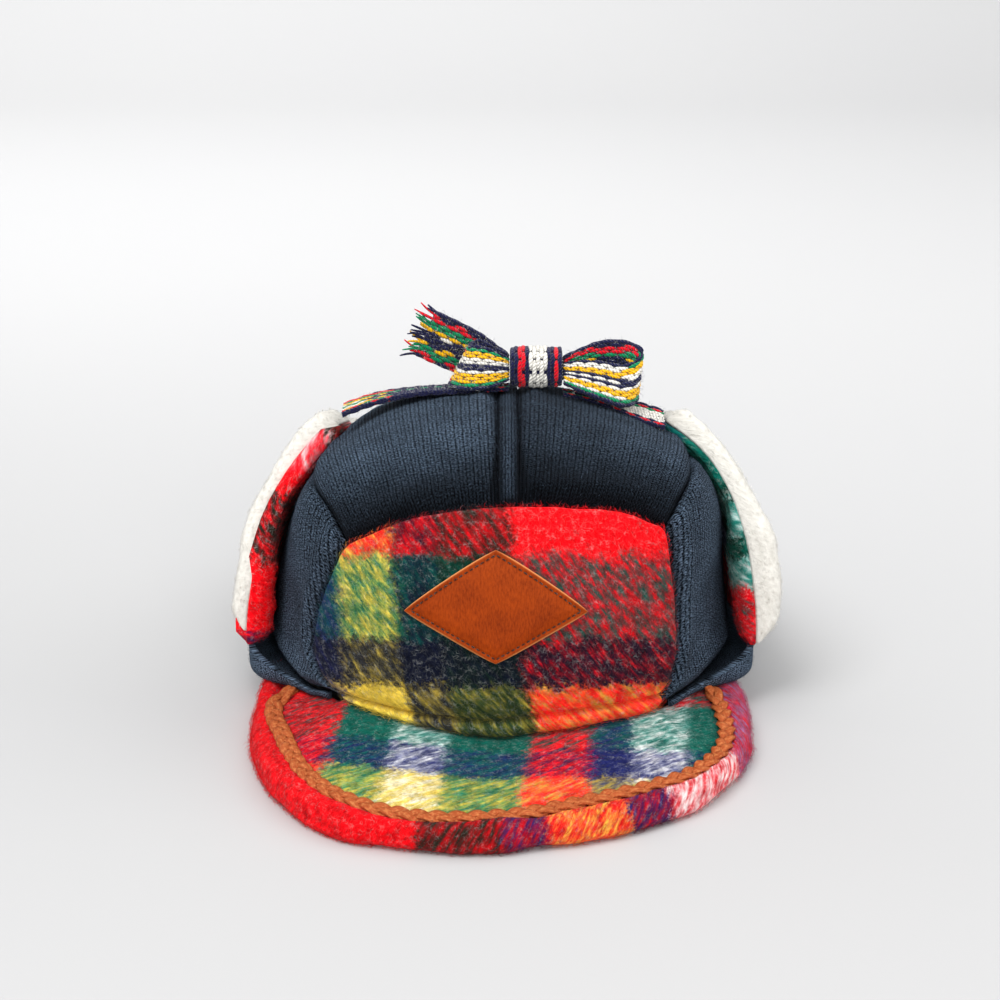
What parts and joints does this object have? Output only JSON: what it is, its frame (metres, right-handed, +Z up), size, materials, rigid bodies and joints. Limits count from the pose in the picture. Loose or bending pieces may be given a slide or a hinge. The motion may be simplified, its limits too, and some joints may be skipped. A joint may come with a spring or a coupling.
{
  "type": "winter cap",
  "caption": "Plaid wool and ribbed knit winter cap with a padded peak, fleece ear flaps folded up and tied over the crown in a bow.",
  "frame": {"origin": "middle of the cap's footprint, on the surface that it rests on", "axes": "+Z up; the peak points along -Y; +X is to the right of somebody who faces the cap's front"},
  "size_m": [0.2096, 0.28, 0.1424],
  "materials": {
    "plaid_wool": "brushed wool, matte",
    "navy_knit": "ribbed knit, matte",
    "fleece": "deep curly pile, matte",
    "leather": "smooth, slightly glossy",
    "woven_tape": "coarse woven, matte"
  },
  "bodies": {
    "root": {"front_panel": "plaid_wool", "flap_wool_left": "plaid_wool", "flap_wool_right": "plaid_wool", "peak": "plaid_wool", "top_seam_strip": "navy_knit", "top_panel_left": "navy_knit", "top_panel_right": "navy_knit", "side_panel_left": "navy_knit", "side_panel_right": "navy_knit", "turn_up_left": "navy_knit", "turn_up_right": "navy_knit", "flap_fleece_left": "fleece", "flap_fleece_right": "fleece", "peak_braid": "leather", "patch": "leather", "tie_left": "woven_tape", "tie_right": "woven_tape", "bow_knot": "woven_tape", "bow_loop_left": "woven_tape", "bow_loop_right": "woven_tape", "bow_tail_left": "woven_tape", "bow_tail_right": "woven_tape"}
  },
  "joints": []
}
